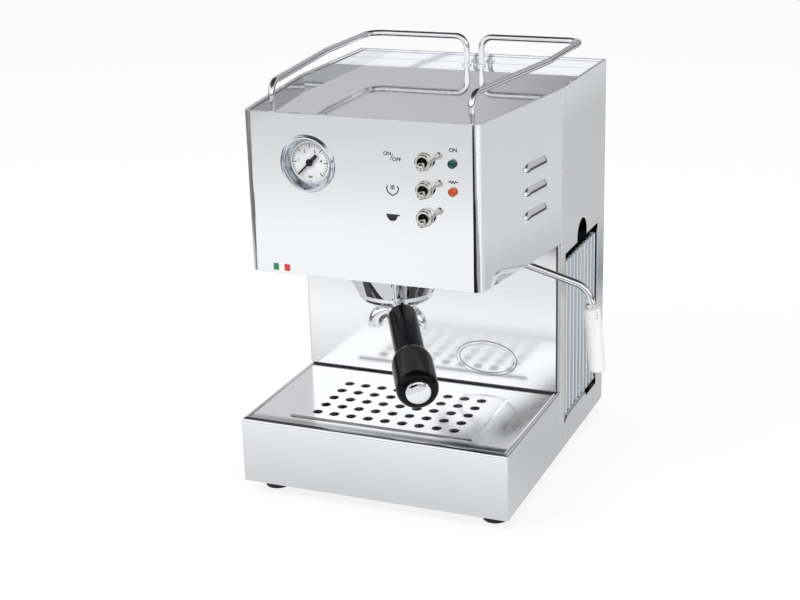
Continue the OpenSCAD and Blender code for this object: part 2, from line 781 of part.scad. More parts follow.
module group_head() color("#c4c6cb") at_group() difference() {
  rotate_extrude() polygon([[0, z_group_top], [flange_r, z_group_top], [flange_r, z_flange], [neck_r,
    z_flange],
    [neck_r, z_head - 8], [ring_r + ring_wall, z_ring], [0, z_ring]]);
  translate([0, 0, z_ring - 1]) cylinder(r = ring_r, h = ring_lip + 1 + eps);
  translate([0, 0, z_ring + ring_lip]) cylinder(r = cavity_r, h = z_ceiling - z_ring - ring_lip);
  rotate([0, 0, handle_turn - unlock_turn]) block([-ring_r - ear_out, -ear_w / 2, z_ring - 1],
    [ring_r + ear_out, ear_w / 2, z_ring + ring_lip + eps]);
  translate([0, 0, z_ceiling - 1]) cylinder(d = 4.2, h = z_group_top - z_ceiling + 2);
  at_bolts() translate([0, 0, z_flange - 1]) cylinder(d = bolt_d + 2 * bore_fit, h = flange_t + 2);
}

ear_w = 24;
bolt_n = 6;
bolt_d = 5;
bolt_circle = 47.5;

module at_bolts() for (i = [0 : bolt_n - 1]) rotate([0, 0, (i + 0.5) * 360 / bolt_n])
  translate([bolt_circle, 0, 0]) children();

gasket_in_r = cup_r + 0.2;

module group_gasket() color("#1c1c1f") at_group() translate([0, 0, z_ceiling - gasket_h]) difference() {
  cylinder(r = cavity_r, h = gasket_h);
  translate([0, 0, -1]) cylinder(r = gasket_in_r, h = gasket_h + 2);
}

screen_r = cup_r - 1;
screen_h = 4;
screw_seat = 1.5;

module shower_screen() color("#b9bcc0") at_group() difference() {
  translate([0, 0, z_ceiling - screen_h]) cylinder(r = screen_r, h = screen_h);
  translate([0, 0, z_ceiling - screen_h + 1]) cylinder(r = screen_r - 1.5, h = screen_h);
  for (ring = [1 : 3], i = [0 : 6 * ring - 1]) rotate([0, 0, i * 60 / ring])
    translate([6 + 5 * ring, 0, z_ceiling - screen_h - 1]) cylinder(d = 2, h = 3, $fn = 16);
  translate([0, 0, z_ceiling - screen_h - 1]) cylinder(d = 5.2, h = 3);
}

module shower_screw() color("#9a9da1") at_group() {
  translate([0, 0, z_ceiling - screen_h - screw_seat]) cylinder(d = 9, h = screw_seat);
  translate([0, 0, z_ceiling - screen_h - eps]) cylinder(d = 4, h = screen_h + 6);
}

// ---------- portafilter ----------

module at_handle() { at_group() rotate([0, 0, handle_turn]) children(); }

collar_r = ring_r + 3.4;
z_bowl = z_ring - bowl_h - 0.7;
neck_fit = ring_r - 0.8;
wall_r = cup_r + 2;
stub_d = 15;
z_handle = z_ring - 2.7;
z_under = z_bowl - 3;
z_brim = z_ring - 0.8;
under_r = 12;
stem_d = 14;
stem_l = 5;

module along_handle(r) { translate([0, 0, z_handle]) rotate([0, handle_droop, -90])
  translate([r, 0, 0]) rotate([0, 90, 0]) children(); }

// Distances along the handle, from the group's axis
stub_end = 36;
ferrule_end = 49;
knob_start = handle_reach - knob_l;

module portafilter() color("#c4c6cb") at_handle() difference() {
  union() {
    rotate_extrude() polygon(concat([[0, z_under]],
      [for (a = [90 : -15 : 0]) [under_r + (collar_r - under_r) * cos(a),
      z_brim - (z_brim - z_under) * sin(a)]],
      [[collar_r, z_brim + 0.4], [neck_fit, z_brim + 0.4], [neck_fit, z_ear], [wall_r, z_ear + ear_h],
       [wall_r, z_cup_top], [0, z_cup_top]]));
    intersection() {
      block([-ring_r - ear_out + 0.4, -ear_w / 2 + 1.5, z_ear], [ring_r + ear_out - 0.4, ear_w / 2 - 1.5,
        z_ear + ear_h]);
      translate([0, 0, z_ear]) cylinder(r = cavity_r - 0.9, h = ear_h);
    }
    along_handle(20) cylinder(d = stub_d, h = stub_end - 20);
    translate([0, 0, z_under - stem_l]) cylinder(d = stem_d, h = stem_l + eps);
  }
  translate([0, 0, z_bowl + 1.5]) cylinder(r = cup_r, h = z_cup_top);
  translate([0, 0, z_under - stem_l - 1]) cylinder(d = 8, h = stem_l + 10);
}

basket_wall = 0.6;
basket_rim = 1.6;

module filter_basket() color("#b9bcc0") at_handle() difference() {
  union() {
    translate([0, 0, z_bowl + 4]) cylinder(r = cup_r - 0.4, h = z_cup_top - z_bowl - 4);
    translate([0, 0, z_cup_top]) cylinder(r = cup_r + basket_rim, h = gasket_gap / 2);
  }
  translate([0, 0, z_bowl + 4 + basket_wall]) cylinder(r = cup_r - 0.4 - basket_wall, h = z_cup_top);
  for (ring = [1 : 3], i = [0 : 6 * ring - 1]) rotate([0, 0, i * 60 / ring])
    translate([7 * ring, 0, z_bowl + 3]) cylinder(d = 2, h = 3, $fn = 16);
}

spout_bend = 14;
spout_turn = -20;
spout_tip = 1.5;
spout_cap_d = 19;
spout_wall = 1.5;
z_spout = z_under - stem_l - 2.5;

// Centre line of one spout
function spout_path(extra) = [[0, 0, z_spout], [spout_w / 2, 0, z_spout], [spout_w / 2, 0,
  z_spout - spout_bend - spout_tip - extra]];

// Twin spout screwed on the portafilter's stem
module spout() color("#c4c6cb") at_handle() rotate([0, 0, spout_turn]) difference() {
  union() {
    translate([0, 0, z_spout - spout_d / 2]) cylinder(d = spout_cap_d,
      h = z_under - z_spout + spout_d / 2 - 0.2);
    for (m = [0, 1]) mirror([m, 0, 0]) rod(spout_path(0), [0, spout_bend, 0], spout_d);
  }
  translate([0, 0, z_spout]) cylinder(d = stem_d + 2 * bore_fit, h = z_under - z_spout);
  for (m = [0, 1]) mirror([m, 0, 0]) rod(spout_path(1), [0, spout_bend, 0], spout_d - 2 * spout_wall);
}

stud_d = 8;
stud_l = 50;

module handle_ferrule() color("#c9ccd2") at_handle() along_handle(stub_end) {
  cylinder(d1 = stub_d, d2 = grip_d - 3, h = ferrule_end - stub_end);
  cylinder(d = stud_d, h = ferrule_end - stub_end + stud_l);
}

cap_d = 20.4;
grip_round = (knob_d - cap_d) / 2 - 0.2;
shoulder_l = 12;

// Grip with a rounded shoulder and end; heights run along the handle
module handle_grip() color("#121214") at_handle() along_handle(ferrule_end) {
  r0 = grip_d / 2;
  r1 = knob_d / 2;
  z0 = knob_start - ferrule_end;
  z1 = handle_reach - ferrule_end;
  difference() {
    rotate_extrude() polygon(concat([[0, 0], [r0 - 1.2, 0], [r0 - 0.3, 0.5], [r0, 1.5]],
      [for (a = [0 : 15 : 90]) [r0 + (r1 - r0) * sin(a), z0 + shoulder_l * (1 - cos(a))]],
      [for (a = [0 : 15 : 90]) [r1 - grip_round + grip_round * cos(a),
      z1 - grip_round + grip_round * sin(a)]],
      [[0, z1]]));
    translate([0, 0, -1]) cylinder(d = stud_d + 2 * bore_fit, h = stud_l + 1.5);
    translate([0, 0, z1 - cap_seat]) cylinder(d = cap_d + 2 * bore_fit, h = cap_seat + 1);
  }
}

cap_seat = 4;

module handle_cap() color("#c9ccd2") at_handle() along_handle(handle_reach - cap_seat) rotate_extrude()
  polygon(concat([[0, 0], [cap_d / 2, 0]], [for (a = [0 : 15 : 90]) [cap_d / 2 * cos(a),
    cap_seat + 2 * sin(a)]]));

// ---------- boiler ----------

boiler_r = 40;
boiler_wall = 3;
boiler_h = 82;
lid_t = 5;
z_boiler_top = z_group_top + boiler_h;

module boiler() color("#b08d57") at_group() difference() {
  union() {
    translate([0, 0, z_group_top]) cylinder(r = flange_r, h = flange_t);
    translate([0, 0, z_group_top]) cylinder(r = boiler_r, h = boiler_h);
    translate([0, 0, z_boiler_top - flange_t]) cylinder(r = flange_r, h = flange_t);
  }
  translate([0, 0, z_group_top + boiler_wall]) cylinder(r = boiler_r - boiler_wall, h = boiler_h);
  translate([0, 0, z_group_top - 1]) cylinder(d = 4.2, h = boiler_wall + 2);
  at_bolts() {
    translate([0, 0, z_group_top - 1]) cylinder(d = bolt_d + 2 * bore_fit, h = flange_t + 2);
    translate([0, 0, z_boiler_top - flange_t - 1]) cylinder(d = bolt_d + 2 * bore_fit, h = flange_t + 2);
  }
}

element_r = 22;
element_d = 8;
port_d = 6;

module boiler_lid() color("#b08d57") at_group() difference() {
  translate([0, 0, z_boiler_top]) cylinder(r = flange_r, h = lid_t);
  for (sx = [-1, 1]) translate([sx * element_r, 0, z_boiler_top - 1])
    cylinder(d = element_d + 2 * bore_fit, h = lid_t + 2);
  translate([0, element_r, z_boiler_top - 1]) cylinder(d = port_d + 2 * bore_fit, h = lid_t + 2);
  translate([0, -element_r, z_boiler_top - 1]) cylinder(d = port_d + 2 * bore_fit, h = lid_t + 2);
  at_bolts() translate([0, 0, z_boiler_top - 1]) cylinder(d = bolt_d + 2 * bore_fit, h = lid_t + 2);
}

bolt_head = 3.5;

module boiler_bolts() color("#9a9da1") at_group() at_bolts() {
  for (stack = [[z_flange, 2 * flange_t], [z_boiler_top - flange_t, flange_t + lid_t]]) {
    translate([0, 0, stack[0]]) cylinder(d = bolt_d, h = stack[1] + eps);
    translate([0, 0, stack[0] + stack[1]]) cylinder(d = bolt_d * 1.6, h = bolt_head, $fn = 6);
  }
}

element_end = 10;
element_up = 15;
element_bend = 14;

module heating_element() color("#7c7f84") at_group()
  rod([[-element_r, 0, z_boiler_top + lid_t + element_end], [-element_r, 0, z_group_top + element_up],
    [element_r, 0, z_group_top + element_up], [element_r, 0, z_boiler_top + lid_t + element_end]],
    [0, element_bend, element_bend, 0], element_d);

thermo_d = 15;
thermo_h = 6;
thermo_tag = 7;
thermo_circle = 0.75 * boiler_r;

module thermostats() color("#2a2a2d") at_group() for (a = [35, 145, 215])
  translate([thermo_circle * cos(a), thermo_circle * sin(a), z_boiler_top + lid_t]) {
    cylinder(d = thermo_d, h = thermo_h);
    for (sx = [-1, 1]) pad([sx * thermo_d / 4, 0, thermo_h - eps], 1, thermo_d / 3, thermo_tag);
  }

// ---------- steam ----------

valve_w = 26;
valve_h = 22;
z_valve = z_flange;
knee_bend = 7;
valve_mouth = z_arm + knee_bend * tan((90 - arm_drop) / 2) + loose_fit - z_valve;

module at_wand() { translate([wand_at.x, wand_at.y, 0]) rotate([0, 0, wand_turn]) children(); }

coil_w = 24;
coil_l = 30;
inlet_down = 3.2;

module steam_valve() color("#b08d57") translate([wand_at.x, wand_at.y, 0]) difference() {
  union() {
    pad([0, 0, z_valve], valve_w, valve_w, valve_h);
    translate([0, valve_w / 2 - eps, z_valve + valve_h / 2]) rotate([-90, 0, 0]) cylinder(d = 14, h = 6);
    pad([0, valve_w / 2 + 5 + coil_l / 2, z_valve], coil_w, coil_l, coil_w);
  }
  translate([0, 0, z_valve - 1]) cylinder(d = wand_d + 2 * bore_fit, h = valve_h - 5);
  translate([0, 0, z_valve - 1]) cylinder(r = wand_hole_r, h = valve_mouth + 1);
  translate([-valve_w, 0, z_valve + valve_h - inlet_down]) rotate([0, 90, 0])
    cylinder(d = port_d + 2 * bore_fit, h = valve_w - 5);
}

steam_bend = 8;

module steam_pipe() color("#c08050") {
  y1 = y_group + element_r;
  z1 = z_boiler_top + lid_t + 2.5 * steam_bend;
  z2 = z_valve + valve_h - inlet_down;
  x2 = wand_at.x - valve_w / 2 - 1.5 * steam_bend;
  b = steam_bend;
  rod([[0, y1, z_boiler_top + eps], [0, y1, z1], [x2, y1, z1], [x2, wand_at.y, z1], [x2, wand_at.y, z2],
    [wand_at.x - valve_w / 4, wand_at.y, z2]], [0, b, b, b, b, 0], port_d);
}

collar_l = 3;
z_knee = z_arm - wand_reach * tan(arm_drop);
bend_l = wand_bend * tan((90 - arm_drop - sleeve_tilt) / 2);

// Frame on the lower tube: the origin is where the arm's line meets it, -Z runs down the tube
module on_lower() { at_wand() translate([wand_reach, 0, z_knee]) rotate([0, -sleeve_tilt, 0]) children(); }

collar_z = -bend_l - seat_gap;
sleeve_z = collar_z - collar_l;
tip_z = sleeve_z - sleeve_l;
tip_wall = 11;
nozzle_d = 3;

module wand_tube() color("#c9ccd2") difference() {
  at_wand() rod([[0, 0, z_valve + valve_h - 7], [0, 0, z_arm], [wand_reach, 0, z_knee],
    [wand_reach - (tip_z + tip_wall) * sin(sleeve_tilt), 0,
    z_knee + (tip_z + tip_wall) * cos(sleeve_tilt)]],
    [0, knee_bend, wand_bend, 0], wand_d);
  on_lower() translate([0, 0, tip_z + tip_wall - 1]) cylinder(d = nozzle_d, h = sleeve_l - 2 * tip_wall);
}

module wand_collar() color("#c9ccd2") on_lower() translate([0, 0, sleeve_z + seat_gap / 2]) difference() {
  cylinder(d = wand_d + 2.8, h = collar_l - seat_gap / 2);
  translate([0, 0, -1]) cylinder(d = wand_d + 2 * bore_fit, h = collar_l + 2);
}

sleeve_round = 2;
slot_turn = -62;
slot_w = 4;
slot_h = 7.5;
slot_in = 1.8;
slot_deep = 2.2;

// Sleeve with rounded ends and an air slot near its top
module frothing_sleeve() color("#e8e9ec") on_lower() difference() {
  rotate_extrude() polygon(concat([[0, tip_z]],
    [for (a = [0 : 15 : 90]) [sleeve_d / 2 - sleeve_round * (1 - sin(a)),
    tip_z + sleeve_round * (1 - cos(a))]],
    [[sleeve_d / 2, sleeve_z - 1], [sleeve_d / 2 - 1, sleeve_z], [0, sleeve_z]]));
  translate([0, 0, tip_z + tip_wall / 2]) cylinder(d = wand_d + 2 * bore_fit, h = sleeve_l);
  translate([0, 0, tip_z - 1]) cylinder(d = nozzle_d + 1, h = tip_wall);
  rotate([0, 0, slot_turn]) block([sleeve_d / 2 - slot_deep, -slot_w / 2, sleeve_z - slot_in - slot_h],
    [sleeve_d, slot_w / 2, sleeve_z - slot_in]);
}

// ---------- pump and hoses ----------

pump_x = -77;
z_pump = z_spigot;
pump_coil = [44, 42, 40];
pump_nose_d = 20;
pump_nose_l = 12;
port_l = 8;
hose_lead = 20;
pipe_lead = 14;
pump_y = (bulkhead_y + bulkhead_t + y_rear - sheet + hose_lead - pipe_lead) / 2;
damper_d = 16;
cradle_t = 2;
z_cradle = z_pump - pump_coil.z / 2;

module pump() color("#3a3a3e") translate([pump_x, pump_y, z_pump]) {
  difference() {
    union() {
      cube(pump_coil, center = true);
      rotate([90, 0, 0]) cylinder(d = pump_nose_d, h = pump_coil.y + 2 * pump_nose_l, center = true);
      rotate([90, 0, 0]) cylinder(d = port_d, h = pump_coil.y + 2 * (pump_nose_l + port_l), center = true);
    }
    rotate([90, 0, 0]) cylinder(d = port_d / 2, h = body_d, center = true);
  }
}

module pump_cradle() color("#a9acb0") translate([pump_x, pump_y, z_cradle - cradle_t]) {
  pad([0, 0, 0], pump_coil.x, pump_coil.y, cradle_t);
  for (s = [-1, 1])
    pad([0, s * (pump_coil.y + cradle_t) / 2, 0], pump_coil.x, cradle_t,
      (pump_coil.z - pump_nose_d) / 2 + cradle_t);
}

module pump_dampers() color("#1c1c1f") for (s = [-1, 1])
  translate([pump_x + s * 12, pump_y, z_plate]) cylinder(d = damper_d, h = z_cradle - cradle_t - z_plate);

pipe_bend = 12;
pipe_step = 30;
pipe_in = 30;
pipe_up = 20;

module suction_hose() color("#d8d4c8") {
  x0 = wall_x - socket_l;
  x1 = x0 - 1.5 * pipe_bend;
  y1 = pump_y - pump_coil.y / 2 - pump_nose_l;
  y2 = y1 - hose_lead;
  difference() {
    rod([[x0, window_yc, z_pump], [x1, window_yc, z_pump], [x1, y2, z_pump], [pump_x, y2, z_pump],
      [pump_x, y1, z_pump]], [0, pipe_bend, pipe_bend, pipe_bend, 0], hose_d);
    translate([x0 + eps, window_yc, z_pump]) rotate([0, -90, 0])
      cylinder(d = nipple_d + 2 * bore_fit, h = nipple_l + 0.2);
    translate([pump_x, y1 + eps, z_pump]) rotate([90, 0, 0])
      cylinder(d = port_d + 2 * bore_fit, h = port_l + 0.2);
  }
}

module pressure_pipe() color("#d8d4c8") {
  y0 = pump_y + pump_coil.y / 2 + pump_nose_l;
  y1 = y0 + pipe_lead;
  y2 = y_group - element_r;
  x1 = -x_side + pipe_in;
  z1 = z_boiler_top + lid_t + pipe_up;
  b = pipe_bend;
  difference() {
    rod([[pump_x, y0, z_pump], [pump_x, y1, z_pump], [pump_x, y1, z_pump + pipe_step],
      [x1, y1, z_pump + pipe_step + abs(pump_x - x1)], [x1, y1, z1], [x1, y2, z1], [0, y2, z1],
      [0, y2, z_boiler_top + lid_t]], [0, b, b, b, b, b, b, 0], port_d, $fn = 32);
    translate([pump_x, y0 - eps, z_pump]) rotate([-90, 0, 0])
      cylinder(d = port_d + 2 * bore_fit, h = port_l + 0.5);
  }
}

// ---------- gauge ----------

dial_r = 17.6;
dial_t = 0.8;
dial_back = 4.6;
glass_r = 21.4;
glass_t = 1;
glass_out = 0.2;
case_l = 24;
case_in_r = 16;
lip_r = 20.4;
stem_r = 5;
spindle_r = 0.8;

module at_gauge() { out_front(-gauge_x, z_gauge) children(); }

// Case with a funnel round the sunken dial
module gauge_case() color("#8e9196") at_gauge() difference() {
  union() {
    translate([0, 0, -case_l]) cylinder(r = gauge_case_r, h = case_l);
    translate([0, 0, -case_l - 10]) cylinder(r = stem_r, h = 10 + eps);
  }
  translate([0, 0, -dial_back]) cylinder(r1 = dial_r, r2 = lip_r, h = dial_back + eps);
  translate([0, 0, -dial_back - dial_t]) cylinder(r = dial_r + loose_fit, h = dial_t + eps);
  translate([0, 0, -case_l + 2]) cylinder(r = case_in_r, h = case_l - 2 - dial_back);
  translate([0, 0, -case_l - 11]) cylinder(r = 1.5, h = 15);
}

module gauge_dial() color("#f3f4f6") at_gauge() difference() {
  translate([0, 0, -dial_back - dial_t]) cylinder(r = dial_r, h = dial_t);
  translate([0, 0, -dial_back - dial_t - 1]) cylinder(r = spindle_r + 0.1, h = dial_t + 2);
}

needle_l = 14.5;
needle_tail = 8;
hub_r = 2.8;
needle_turn = 135;

module gauge_needle() color("#101012") at_gauge() translate([0, 0, -dial_back]) {
  translate([0, 0, -3]) cylinder(r = spindle_r, h = 3.5);
  translate([0, 0, 0.4]) cylinder(r = hub_r, h = 1.2);
  rotate([0, 0, needle_turn]) translate([0, 0, 0.7]) linear_extrude(0.5)
    polygon([[-1.5, -needle_tail], [1.5, -needle_tail], [1.3, 0], [0.6, 0], [0.3, needle_l], [-0.3,
      needle_l], [-0.6, 0], [-1.3, 0]]);
}

module gauge_glass() color("#e8f2f4") at_gauge() translate([0, 0, glass_out])
  cylinder(r = glass_r, h = glass_t);

z_lip = glass_out + glass_t;

// Ring that rises from the panel to a crest and falls in to the glass
module gauge_bezel() color("#c9ccd2") at_gauge() rotate_extrude() {
  r = bezel_d / 2;
  polygon([[glass_r + bore_fit, 0], [r, 0], [r, 0.9], [r - 0.5, 1.5], [r - 1.1, bezel_out - 0.9],
    [r - 1.7, bezel_out - 0.2], [r - 2.3, bezel_out], [r - 2.9, bezel_out - 0.3],
    [lip_r + 0.5, z_lip + 0.9], [lip_r, z_lip + 0.5], [lip_r, z_lip], [glass_r + bore_fit, z_lip]]);
}

// ---------- switches and lamps ----------

switch_w = 13;
switch_h = 20;
switch_l = 18;
tag_w = 5;
tag_l = 7;
tag_t = 2;
bush_out = 5;
bush_in_r = 3.3;
mouth_r = 4.4;
mouth_l = 4;
pivot_out = 2;
pivot_r = 3.1;
lever_l = 18;
lever_r = 1.8;
lever_tip_r = 3.3;

module at_switches() for (i = [0 : 2]) out_front(switch_x, switch_z(i)) children();

module switch_bodies() color("#2a2a2d") at_switches() difference() {
  union() {
    translate([-switch_h / 2, -switch_w / 2, -sheet - switch_l]) cube([switch_h, switch_w, switch_l]);
    translate([0, 0, -sheet - eps]) cylinder(r = bush_r, h = sheet + bush_out + eps);
    for (k = [-1, 0, 1])
      translate([k * tag_l - tag_w / 2, -tag_t / 2, -sheet - switch_l - tag_l]) cube([tag_w, tag_t,
        tag_l + eps]);
  }
  translate([0, 0, pivot_out - pivot_r - 1]) cylinder(r = bush_in_r, h = bush_out + pivot_r + 2);
  translate([0, 0, bush_out - mouth_l]) cylinder(r1 = bush_in_r, r2 = mouth_r, h = mouth_l + eps);
}

nut_r = 7.4;
nut_h = 2.2;
dress_r = 6.8;
dress_h = 6.4;
dress_lip = 1;

// Round nut with a stepped front, closed over the bush down to the mouth
module switch_nuts() color("#c9ccd2") at_switches() difference() {
  rotate_extrude() polygon([[0, 0], [nut_r, 0], [nut_r, nut_h - 0.4], [nut_r - 0.4, nut_h], [dress_r,
    nut_h],
    [dress_r, dress_h - 0.8], [dress_r - 0.8, dress_h], [0, dress_h]]);
  translate([0, 0, -1]) cylinder(r = bush_r + bore_fit, h = dress_h - dress_lip + 1);
  cylinder(r = mouth_r + 0.1, h = dress_h + 1);
}

// Bat lever on its pivot ball, tilted to the right in its rest position
module lever(i) color("#c9ccd2") out_front(switch_x, switch_z(i)) translate([0, 0, pivot_out])
  rotate([0, lever_tilt, 0]) {
  sphere(r = pivot_r);
  cylinder(r1 = lever_r, r2 = lever_tip_r - 0.5, h = lever_l);
  translate([0, 0, lever_l]) sphere(r = lever_tip_r);
}

module power_lever() lever(0);
module steam_lever() lever(1);
module brew_lever() lever(2);

module lamps() for (i = [0 : 1]) color(i == 0 ? "#0d7a55" : "#e2602c") out_front(lamp_x, lamp_z(i)) {
  translate([0, 0, -22]) cylinder(r = lamp_body_r, h = 22 + eps);
  intersection() {
    translate([0, 0, 3 - lamp_d]) sphere(r = lamp_d);
    cylinder(d = lamp_d, h = lamp_d);
  }
}

module power_inlet() color("#1c1c1f") {
  y0 = y_rear;
  difference() {
    union() {
      block([inlet_x - inlet_w / 2 - 4, y0, inlet_z - inlet_h / 2 - 3], [inlet_x + inlet_w / 2 + 4,
        y0 + 3, inlet_z + inlet_h / 2 + 3]);
      block([inlet_x - inlet_w / 2 + 0.2, y0 - 16, inlet_z - inlet_h / 2 + 0.2],
        [inlet_x + inlet_w / 2 - 0.2, y0 + eps, inlet_z + inlet_h / 2 - 0.2]);
    }
    block([inlet_x - inlet_w / 2 + 2, y0 - 14, inlet_z - inlet_h / 2 + 2], [inlet_x + inlet_w / 2 - 2,
      y0 + 4, inlet_z + inlet_h / 2 - 2]);
  }
  for (k = [-1, 0, 1]) block([inlet_x + k * 7 - 1, y0 - 14 - eps, inlet_z - 2 + (k == 0 ? 4 : 0)],
    [inlet_x + k * 7 + 1, y0 - 1, inlet_z + 2 + (k == 0 ? 4 : 0)]);
}

base_plate();
feet();
foot_screws();
bulkhead();
left_cover();
right_cover();
rear_cover();
rear_screws();
head_cover();
underside_panel();
splash_panel();
splash_seal();
tray_ledges();
tank_shelf();
tank_socket();
water_tank();
tank_seal();
drip_tray();
drip_cover();
cup_tray();
left_rail();
right_rail();
rail_nuts();
group_head();
group_gasket();
shower_screen();
shower_screw();
portafilter();
filter_basket();
spout();
handle_ferrule();
handle_grip();
handle_cap();
boiler();
boiler_lid();
boiler_bolts();
heating_element();
thermostats();
steam_valve();
steam_pipe();
wand_tube();
wand_collar();
frothing_sleeve();
pump();
pump_cradle();
pump_dampers();
suction_hose();
pressure_pipe();
gauge_case();
gauge_dial();
gauge_needle();
gauge_glass();
gauge_bezel();
switch_bodies();
switch_nuts();
power_lever();
steam_lever();
brew_lever();
lamps();
power_inlet();
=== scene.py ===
import json
import math

import bmesh
import bpy
from mathutils import Matrix, Vector


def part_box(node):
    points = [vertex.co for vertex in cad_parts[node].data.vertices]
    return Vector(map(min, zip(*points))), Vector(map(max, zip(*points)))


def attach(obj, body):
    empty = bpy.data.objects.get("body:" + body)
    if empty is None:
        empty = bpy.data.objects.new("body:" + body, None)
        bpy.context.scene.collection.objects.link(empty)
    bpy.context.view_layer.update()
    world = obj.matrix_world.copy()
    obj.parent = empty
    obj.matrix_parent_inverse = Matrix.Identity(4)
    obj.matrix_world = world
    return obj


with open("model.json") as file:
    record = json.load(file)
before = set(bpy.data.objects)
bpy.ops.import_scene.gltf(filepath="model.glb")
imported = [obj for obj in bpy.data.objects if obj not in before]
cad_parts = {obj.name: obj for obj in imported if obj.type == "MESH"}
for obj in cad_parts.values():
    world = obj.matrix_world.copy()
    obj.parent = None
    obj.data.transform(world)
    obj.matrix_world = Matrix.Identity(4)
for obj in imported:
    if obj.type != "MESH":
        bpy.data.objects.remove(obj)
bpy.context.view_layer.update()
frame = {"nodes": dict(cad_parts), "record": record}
CAD = frame["nodes"]
MM = 0.001
bpy.context.scene.view_settings.view_transform = "Standard"


def place(name, data):
    obj = bpy.data.objects.new(name, data)
    bpy.context.scene.collection.objects.link(obj)
    return obj


# ---------------------------------------------------------------- camera

AZIMUTH, ELEVATION, ROLL = (math.radians(a) for a in (22.964, 19.028, -1.633))
STANDPOINT = (0.52088, -1.29942, 0.63286)
LENS = 72.014


def make_camera():
    data = bpy.data.cameras.new("camera")
    data.sensor_width = 36
    data.lens = LENS
    data.clip_start, data.clip_end = 0.05, 60
    camera = place("camera", data)
    flat = math.cos(ELEVATION)
    forward = Vector((-math.sin(AZIMUTH) * flat, math.cos(AZIMUTH) * flat, -math.sin(ELEVATION)))
    right = Vector((math.cos(AZIMUTH), math.sin(AZIMUTH), 0))
    up = right.cross(forward)
    x = math.cos(ROLL) * right + math.sin(ROLL) * up
    y = -math.sin(ROLL) * right + math.cos(ROLL) * up
    turn = Matrix((x, y, -forward)).transposed().to_4x4()
    camera.matrix_world = Matrix.Translation(STANDPOINT) @ turn
    bpy.context.scene.camera = camera


make_camera()

# ---------------------------------------------------------------- shader helpers

EVEN = (1, 1, 1)


class Tree:
    """A node tree with short ways to add nodes to it."""

    def __init__(self, tree):
        self.tree = tree

    def node(self, kind, inputs=None, **settings):
        made = self.tree.nodes.new(kind)
        for key, value in settings.items():
            setattr(made, key, value)
        for key, value in (inputs or {}).items():
            if isinstance(value, bpy.types.NodeSocket):
                self.tree.links.new(value, made.inputs[key])
            else:
                made.inputs[key].default_value = value
        return made

    def calc(self, operation, a, b):
        return self.node("ShaderNodeMath", {0: a, 1: b}, operation=operation).outputs[0]

    def span(self, value, start, end, low=0.0, high=1.0, kind="LINEAR"):
        """Maps a value from start..end to low..high."""
        limits = {"Value": value, "From Min": start, "From Max": end, "To Min": low, "To Max": high}
        return self.node("ShaderNodeMapRange", limits, interpolation_type=kind).outputs[0]

    def mix(self, share, a, b, blend="MIX"):
        """Colour between a and b."""
        a, b = ((*c, 1) if isinstance(c, tuple) else c for c in (a, b))
        made = self.node("ShaderNodeMix", {0: share, 6: a, 7: b}, data_type="RGBA", blend_type=blend)
        return made.outputs[2]

    def ramp(self, value, stops, low, high, tone=EVEN):
        """Grey levels at positions between low and high, times a tone."""
        made = self.node("ShaderNodeValToRGB", {"Fac": self.span(value, low, high)})
        points = made.color_ramp.elements
        points.remove(points[1])
        for k, (at, level) in enumerate(stops):
            share = (at - low) / (high - low)
            point = points.new(share) if k else points[0]
            point.position = share
            point.color = (*(level * part for part in tone), 1)
        return made.outputs["Color"]

    def blend(self, share, a, b):
        """Shader between a and b."""
        return self.node("ShaderNodeMixShader", {0: share, 1: a, 2: b}).outputs[0]

    def glow(self, kind, colour, strength):
        """Emission or background shader."""
        return self.node(kind, {"Color": colour, "Strength": strength}).outputs[0]


class Mat(Tree):
    """A Principled material; fixed values of its sockets are given by name, with _ for a space."""

    def __init__(self, name, **sockets):
        self.material = bpy.data.materials.new(name)
        self.material.use_nodes = True
        super().__init__(self.material.node_tree)
        self.shader = self.tree.nodes["Principled BSDF"]
        for key, value in sockets.items():
            self.shader.inputs[key.replace("_", " ")].default_value = value

    def link(self, source, socket):
        self.tree.links.new(source, self.shader.inputs[socket])

    def surface(self, shader):
        self.tree.links.new(shader, self.tree.nodes["Material Output"].inputs["Surface"])

    def position(self):
        """Outputs X, Y and Z of the place on the object, in metres."""
        where = self.node("ShaderNodeTexCoord").outputs["Object"]
        return self.node("ShaderNodeSeparateXYZ", {"Vector": where}).outputs

    def noise(self, scale, stretch=EVEN, detail=2):
        where = self.node("ShaderNodeTexCoord").outputs["Object"]
        where = self.node("ShaderNodeMapping", {"Vector": where, "Scale": stretch}).outputs[0]
        made = self.node("ShaderNodeTexNoise", {"Vector": where, "Scale": scale, "Detail": detail})
        return made.outputs["Fac"]

    def spread(self, noise, low, high):
        """Spreads the middle range of a noise over low..high."""
        return self.span(noise, 0.3, 0.7, low, high)

    def tint(self, colour, change, scale):
        """Base colour that varies a little from place to place."""
        low = tuple(c * (1 - change) for c in colour)
        high = tuple(min(1, c * (1 + change)) for c in colour)
        self.link(self.mix(self.spread(self.noise(scale), 0, 1), low, high), "Base Color")

    def bump(self, height, depth, normal=None):
        inputs = {"Height": height, "Distance": depth, "Strength": 1}
        if normal is not None:
            inputs["Normal"] = normal
        return self.node("ShaderNodeBump", inputs).outputs[0]

    def round_edges(self, radius):
        """Normal with edges rounded to a radius in millimetres."""
        return self.node("ShaderNodeBevel", {"Radius": radius * MM}, samples=4).outputs[0]

    def sheet(self, rough, grain, grain_depth, wave, edge):
        """Fine grain, slow waves and soft edges of metal; gives the grain back."""
        fine = self.noise(1, grain, 3)
        self.link(self.spread(fine, *rough), "Roughness")
        normal = self.round_edges(edge)
        if wave:
            normal = self.bump(self.noise(7, EVEN, 1), wave, normal)
        if grain_depth:
            normal = self.bump(fine, grain_depth, normal)
        self.link(normal, "Normal")
        return fine


# ---------------------------------------------------------------- plain materials


